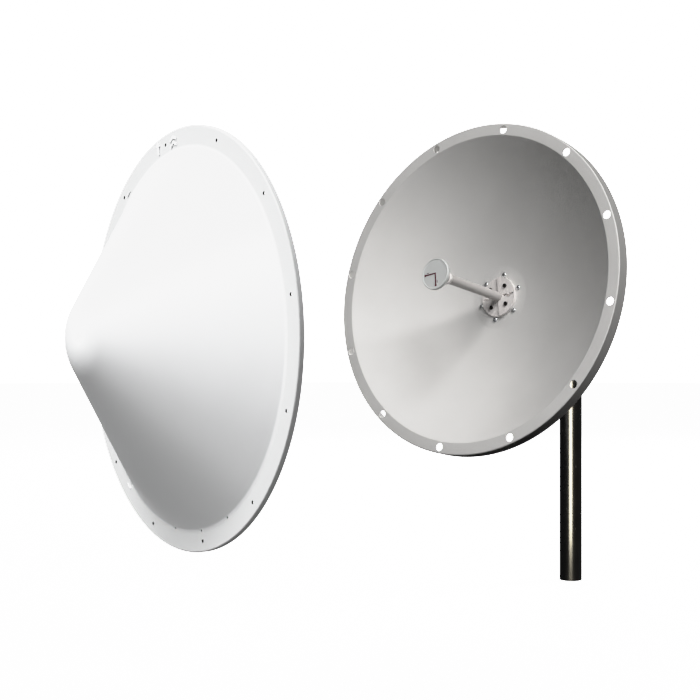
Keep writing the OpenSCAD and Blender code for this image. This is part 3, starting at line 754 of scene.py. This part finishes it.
def feed_front():
    """The round cap with its raised edge."""
    wall = 1.5
    back = CAP_FACE_Z - CAP_T
    outer_edge = arc(CAP_R - 1, CAP_FACE_Z - 0.3, 1, 0, 90, 5)
    inner_edge = arc(CAP_R - 1.9, CAP_FACE_Z + 0.2, 0.5, 90, 180, 3)
    mesh = bmesh.new()
    lathe(mesh, [
        (0, CAP_FACE_Z - wall), (CAP_R - wall, CAP_FACE_Z - wall), (CAP_R - wall, back),
        (CAP_R, back), *outer_edge, *inner_edge, (CAP_R - 2.4, CAP_FACE_Z), (0, CAP_FACE_Z),
    ], steps=120)
    finish_piece(make("feed_cap_shell", mesh, FEED), "feed", "feed_cap_plastic", "feed_cap")


plate_half("raised_plate_half", "hub_plate_right", 1, HUB_PLATE_T + HUB_STEP)
plate_half("low_plate_half", "hub_plate_left", -1, HUB_PLATE_T)
plate_screws()
feed_pipe()
feed_front()


# ---- Sockets ----

def sockets():
    """The sockets: a hexagon flange, a threaded barrel, a lock nut and a white insulator."""
    shells, nuts, insulators = bmesh.new(), bmesh.new(), bmesh.new()
    for side in (-1, 1):
        place = shift(0, side * SOCKET_OFFSET, COVER_Z) @ turn(180, "X")
        hexagon(shells, place, 10.5, 7.0, 0, 3)
        tail = [(5, 6), (4.6, 6), (4.6, -12), (6, -12), (6, -0.1)]
        barrel = [(7.2, -0.1), (7.2, 19.8), (6.9, 20), (5.4, 20), (5, 19.6)]
        lathe(shells, tail + barrel, place, 64)
        threaded_sleeve(shells, place, 7.9, 7.1, 1.058, 3.4, 19.6)
        hexagon(nuts, place, 9, 6.05, -8, -4)
        lathe(insulators, tube_wall(4.45, 1.55, -12, 8, 0.3), place, FINE)
    finish_piece(make("socket_barrels", shells, FEED), "feed", "nickel", "socket_shells")
    finish_piece(make("socket_lock_nuts", nuts, FEED), "feed", "nickel", "socket_nuts")
    finish_piece(make("insulator_sleeves", insulators, FEED), "feed", "white_insulator", "socket_insulators")


def threaded_sleeve(mesh, place, radius, inner, pitch, low, high, steps=64, layers=6):
    """A thread round a sleeve, with a plain inside."""
    depth = 0.6 * pitch
    count = round((high - low) / pitch * layers)
    rings = []
    for k in range(count + 1):
        height = low + (high - low) * k / count
        ease = min(height - low, high - height) * 1.5
        ring = []
        for i in range(steps):
            phase = (height / pitch - i / steps) % 1
            reach = min(radius - depth + ease, radius - depth * abs(2 * phase - 1))
            angle = 2 * math.pi * i / steps
            ring.append(mesh.verts.new(place @ polar(reach, angle, height)))
        rings.append(ring)
    for height in (high, low):
        angles = [2 * math.pi * i / steps for i in range(steps)]
        rings.append([mesh.verts.new(place @ polar(inner, angle, height)) for angle in angles])
    for lower, upper in zip(rings, rings[1:] + rings[:1]):
        join_rings(mesh, lower, upper, steps)


sockets()


# ---- Mount ----

def u_bolts():
    """Round bars bent round the mast, with threaded legs."""
    mesh = bmesh.new()
    for side in (-1, 1):
        height = PIVOT_Z + side * U_SPREAD
        bend = [(x, y, height) for x, y in arc(0, 0, U_BEND_R, 0, 180, 40)]
        legs = [[(x, -YOKE_FRONT - 2 + 4 * i, height) for i in range(10)] for x in (U_BEND_R, -U_BEND_R)]
        sweep(mesh, [*legs[0], *bend, *reversed(legs[1])], 4)
        for x in (-U_BEND_R, U_BEND_R):
            thread(mesh, shift(x, 0, height) @ turn(90, "X"), 4, 1.25, YOKE_FRONT + 1, YOKE_FRONT + 14)
    finish_piece(make("bent_u_bolts", mesh), "azimuth_mount", "zinc", "u_bolts")


def u_bolt_hardware():
    washers, nuts = bmesh.new(), bmesh.new()
    for side in (-1, 1):
        for x in (-U_BEND_R, U_BEND_R):
            place = shift(x, 0, PIVOT_Z + side * U_SPREAD) @ turn(90, "X")
            washer(washers, place, 8, 4.3, YOKE_FRONT, YOKE_FRONT + 1.6)
            hexagon(nuts, place @ turn(side * x, "Z"), 7.5, 4.05, YOKE_FRONT + 1.6, YOKE_FRONT + 8.1)
    finish_piece(make("clamp_washers", washers), "azimuth_mount", "zinc", "u_bolt_washers")
    finish_piece(make("clamp_nuts", nuts), "azimuth_mount", "zinc", "u_bolt_nuts")


def side_bolts(
    kind, body, base, *, radius, pitch, corner, head_t, nut_t, washer_r, washer_t, tail, inner_seat, seat,
):
    """On each side, a bolt with two washers and a nut through both cheeks, with local Z outwards."""
    bolts, washers, nuts = bmesh.new(), bmesh.new(), bmesh.new()
    for side in (-1, 1):
        place = turn(90 * side, "Y")
        head = seat + washer_t
        rod(bolts, place, radius, tail + 4, head + 0.1)
        thread(bolts, place @ turn(180, "X"), radius, pitch, -tail - 4, -tail)
        hexagon(bolts, place @ turn(17 * side, "Z"), corner, 0, head, head + head_t)
        washer(washers, place, washer_r, radius + 0.05, seat, head)
        washer(washers, place, washer_r, radius + 0.05, inner_seat - washer_t, inner_seat)
        nut_top = inner_seat - washer_t
        hexagon(nuts, place @ turn(11, "Z"), corner, radius + 0.05, nut_top - nut_t, nut_top)
    for mesh, ending in ((bolts, "_bolts"), (washers, "_washers"), (nuts, "_nuts")):
        node = kind + ending
        finish_piece(make("machined_" + node, mesh, base), body, "zinc", node)


def mast_top():
    """The moulded cap over the tube's end, with a domed top."""
    wall, skirt = 2.5, 18
    outer = MAST_R + 0.05 + wall
    mouth = MAST_TOP - skirt
    dome = []
    for degrees in range(75, -1, -5):
        angle = math.radians(degrees)
        dome.append((outer * math.sin(angle), MAST_TOP + wall + 3 * math.cos(angle) - 0.6))
    inside = [(0, MAST_TOP), (MAST_R + 0.05, MAST_TOP), (MAST_R + 0.05, mouth)]
    outside = [(outer - 0.4, mouth), (outer, mouth + 0.4), (outer, MAST_TOP + wall - 1.2)]
    mesh = bmesh.new()
    lathe(mesh, inside + outside + dome, steps=96)
    finish_piece(make("domed_mast_cap", mesh), "mast", "black_plastic", "mast_cap")


def mast_tube():
    mesh = bmesh.new()
    lathe(mesh, tube_wall(MAST_R, MAST_R - 3, 0, MAST_TOP, 0.5), steps=128)
    finish_piece(make("mast_pipe", mesh), "mast", "black_paint", "mast")


mast_tube()
mast_top()
u_bolts()
u_bolt_hardware()
side_bolts(
    "pivot", "azimuth_mount", PIVOT, radius=5, pitch=1.5, corner=9.8, head_t=6.4, nut_t=8,
    washer_r=10, washer_t=2, tail=ARM_IN - 14, inner_seat=ARM_IN - 0.3, seat=YOKE_OUT,
)
side_bolts(
    "lock", "dish", BORESIGHT @ shift(z=-LOCK_RADIUS), radius=4, pitch=1.25, corner=7.5, head_t=5.3,
    nut_t=6.5, washer_r=8, washer_t=1.6, tail=ARM_IN - 11, inner_seat=ARM_IN, seat=YOKE_OUT + 0.3,
)


# ---- Radome ----

def radome_profile():
    """Closed outline of the moulding: skirt, flange, hollow root, straight cone and rounded nose."""
    rise = NOSE_HEIGHT - NOSE_R
    angle = math.atan2(rise, CONE_R) + math.asin(NOSE_R / math.hypot(CONE_R, rise))
    degrees = math.degrees(angle)
    half = math.tan(angle / 2)
    root_angles = [angle * i / 10 for i in range(11)]
    root = [(CONE_R + ROOT_R * (half - math.sin(a)), ROOT_R * (1 - math.cos(a))) for a in root_angles]
    nose = arc(0, rise, NOSE_R, 90 - degrees, 90, 30)
    inner_nose = arc(0, rise, NOSE_R - RADOME_WALL, 90, 90 - degrees, 30)
    inner_base = CONE_R - RADOME_WALL * (math.sin(angle) - (1 - math.cos(angle)) / math.tan(angle))
    edge = arc(RADOME_R - RADOME_EDGE, -RADOME_EDGE, RADOME_EDGE, 0, 90, 8)
    mouth = RADOME_R - RADOME_WALL
    outside = [(RADOME_R - 0.6, -SKIRT), (RADOME_R, 0.6 - SKIRT), *edge, *root, *nose[:-1], (0, NOSE_HEIGHT)]
    hollow = [(0, NOSE_HEIGHT - RADOME_WALL), *inner_nose[1:], (inner_base, -RADOME_WALL)]
    return hollow + [(mouth, -RADOME_WALL), (mouth, -SKIRT)] + outside


def radome():
    """The moulding, with its ring of screw holes and three drain holes at the bottom."""
    mesh = bmesh.new()
    lathe(mesh, radome_profile(), steps=256)
    piece = make("moulded_radome", mesh, RADOME)
    holes = bmesh.new()
    low = -RADOME_WALL - 2
    for place in spaced(12, HOLE_RING_R):
        drill(holes, place, RADOME_HOLE_R, low, 2, 24)
    for angle in (254, 270, 286):
        drill(holes, turn(angle, "Z") @ shift(CONE_R), DRAIN_HOLE_R, low, 9, 24)
    carve(piece, holes)
    finish_piece(piece, "radome", "radome_plastic", "radome_shell")


def radome_marks():
    """Raised assembly marks on the flange: an arrow, two plain chevrons and two ticks."""
    mesh = bmesh.new()
    bottom, top = -0.5, 2
    arrow = [(-2.4, -14), (2.4, -14), (2.4, -1), (6.4, -1), (0, 8), (-6.4, -1), (-2.4, -1)]
    prism(mesh, arrow, bottom, top, shift(-24, HOLE_RING_R + 4))
    for y in (-6, 3.5):
        chevron = [(-10, y - 3), (0, y + 3), (10, y - 3), (10, y + 1.6), (0, y + 7.6), (-10, y + 1.6)]
        prism(mesh, chevron, bottom, top, shift(28, HOLE_RING_R - 4))
    tick = [(316, -7), (317.4, -7), (317.4, 7), (316, 7)]
    for angle in (117, 221.5):
        prism(mesh, tick, bottom, top, turn(angle, "Z"))
    piece = make("raised_marks", mesh, RADOME)
    ease_edges(piece, 0.35)
    finish_piece(piece, "radome", "radome_plastic")


radome()
radome_marks()

# The plates and castings that stay as CAD solids get eased edges
SOLID_NODES = (
    "yoke", "tilt_arm", "back_plate", "clamp_saddles", "feed_housing", "feed_lock_ring", "rear_cover",
)
for node_name in SOLID_NODES:
    part = frame["nodes"][node_name]
    weld = part.modifiers.new("weld", "WELD")
    weld.merge_threshold = 0.01 * MM
    ease_edges(part, 0.5)


# ---- Stage, light and camera ----

def stage():
    """A plain pale floor that throws no light back, under a white studio."""
    floor_paint = Paint("studio_floor", Roughness=0.9, Specular_IOR_Level=0.1, Emission_Strength=3.0)
    cloud = floor_paint.noise(900, 2)
    pale = floor_paint.mix(cloud, (0.9, 0.9, 0.9), (0.93, 0.93, 0.93))
    floor_paint.base(pale)
    floor_paint.feed(floor_paint.shader.inputs["Emission Color"], pale)
    mesh = bmesh.new()
    prism(mesh, arc(0, 0, 20000, 0, 355, 71), -30, -0.5)
    floor = make("studio_floor", mesh)
    floor.data.materials.append(floor_paint.material)
    floor.visible_diffuse = False
    floor.visible_glossy = False
    floor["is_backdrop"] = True


def studio_air():
    """Dim grey light from all round, behind a white backdrop."""
    world = bpy.data.worlds.new("studio")
    bpy.context.scene.world = world
    world.use_nodes = True
    nodes, links = world.node_tree.nodes, world.node_tree.links
    dim = nodes["Background"]
    dim.inputs["Color"].default_value = (1, 1, 1, 1)
    dim.inputs["Strength"].default_value = 0.035
    white = nodes.new("ShaderNodeBackground")
    white.inputs["Color"].default_value = (1, 1, 1, 1)
    white.inputs["Strength"].default_value = 4.0
    seen = nodes.new("ShaderNodeLightPath")
    both = nodes.new("ShaderNodeMixShader")
    links.new(seen.outputs["Is Camera Ray"], both.inputs[0])
    links.new(dim.outputs[0], both.inputs[1])
    links.new(white.outputs[0], both.inputs[2])
    links.new(both.outputs[0], nodes["World Output"].inputs["Surface"])


def softbox(
    name, aim, away, direction, size, factor, only=None, colour=(1, 1, 1), diffuse=True, glossy=True,
):
    """A softbox away metres from aim, whose light on a facing white wall would show as factor.

    With only, it lights that group alone, and nothing else casts a shadow in its light.
    """
    data = bpy.data.lights.new(name, "AREA")
    data.shape = "RECTANGLE"
    data.size, data.size_y = size
    data.energy = factor * (math.pi * away) ** 2
    data.color = colour
    light = bpy.data.objects.new(name, data)
    bpy.context.scene.collection.objects.link(light)
    back = Vector(direction).normalized()
    light.location = Vector(aim) + away * back
    light.rotation_euler = (-back).to_track_quat("-Z", "Y").to_euler()
    light.visible_camera = False
    light.visible_diffuse = diffuse
    light.visible_glossy = glossy
    if only:
        light.light_linking.receiver_collection = only
        light.light_linking.blocker_collection = only


def lit_group(name, wanted):
    """A collection of the pieces that wanted says yes to."""
    group = bpy.data.collections.new(name)
    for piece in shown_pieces():
        if wanted(piece):
            group.objects.link(piece)
    return group


def lights():
    """The radome, the mast and the rest are each lit by their own softboxes, and all by two from behind."""
    dish_centre = Vector(MOUNTS["dish_rim_holes"]["pos_m"])
    radome_centre = Vector(MOUNTS["radome_holes"]["pos_m"])
    radome_only = lit_group("radome_lit", lambda piece: "radome" in body_of(piece))
    mast_only = lit_group("mast_lit", lambda piece: "mast" in body_of(piece))
    antenna = lit_group("antenna_lit", lambda piece: "radome" not in body_of(piece))
    middle = (0, 0, 0.6)
    mast_middle = (0, 0, 0.29)
    far, behind, near = 8, 5, 0.8
    softbox("dish_key", dish_centre, far, (0.64, -0.36, 0.68), (5.2, 5.2), 1.35, antenna)
    softbox("radome_key", radome_centre, far, (-0.2, -1.0, 1.45), (3.2, 3.2), 1.8, radome_only)
    softbox("radome_right", radome_centre, far, (1, -0.2, 0.05), (3, 3), 0.24, radome_only)
    softbox("radome_left", radome_centre, far, (-0.8, -0.6, 0), (3, 1), 0.3, radome_only)
    softbox("radome_below", radome_centre, far, (-0.3, -0.6, -0.75), (3, 3), 0.11, radome_only)
    strip_colour = (1, 0.92, 0.72)
    strip = (0.42, 0.62)
    softbox("mast_strip", mast_middle, near, (0.545, -0.84, 0), strip, 3.2, mast_only, strip_colour, False)
    softbox("rear_left", middle, behind, (-0.75, 1.0, 0.8), (2.4, 2.4), 0.55)
    softbox("rear_right", middle, behind, (0.5, 1.0, 0.3), (2, 2), 0.85, glossy=False)


def response():
    """Straight tones up to a bright grey, then a soft shoulder up to white."""
    view = bpy.context.scene.view_settings
    view.view_transform = "Standard"
    view.use_curve_mapping = True
    mapping = view.curve_mapping
    mapping.clip_max_x = 4
    mapping.clip_max_y = 1
    curve = mapping.curves[3]
    curve.points[1].location = (4, 1)
    for place in ((0.4, 0.4), (0.82, 0.82), (1.0, 0.895), (1.7, 0.91), (2.7, 0.98)):
        curve.points.new(*place)
    mapping.update()


def camera():
    """A level camera ahead of the antenna and to its right, half a metre above the floor."""
    data = bpy.data.cameras.new("camera")
    data.sensor_width = 36
    data.lens = 76.4
    data.clip_end = 60
    made = bpy.data.objects.new("camera", data)
    bpy.context.scene.collection.objects.link(made)
    made.location = (1.7771, -2.7461, 0.5)
    made.rotation_euler = (math.pi / 2, 0, math.radians(41.36))
    bpy.context.scene.camera = made


stage()
studio_air()
lights()
response()
camera()
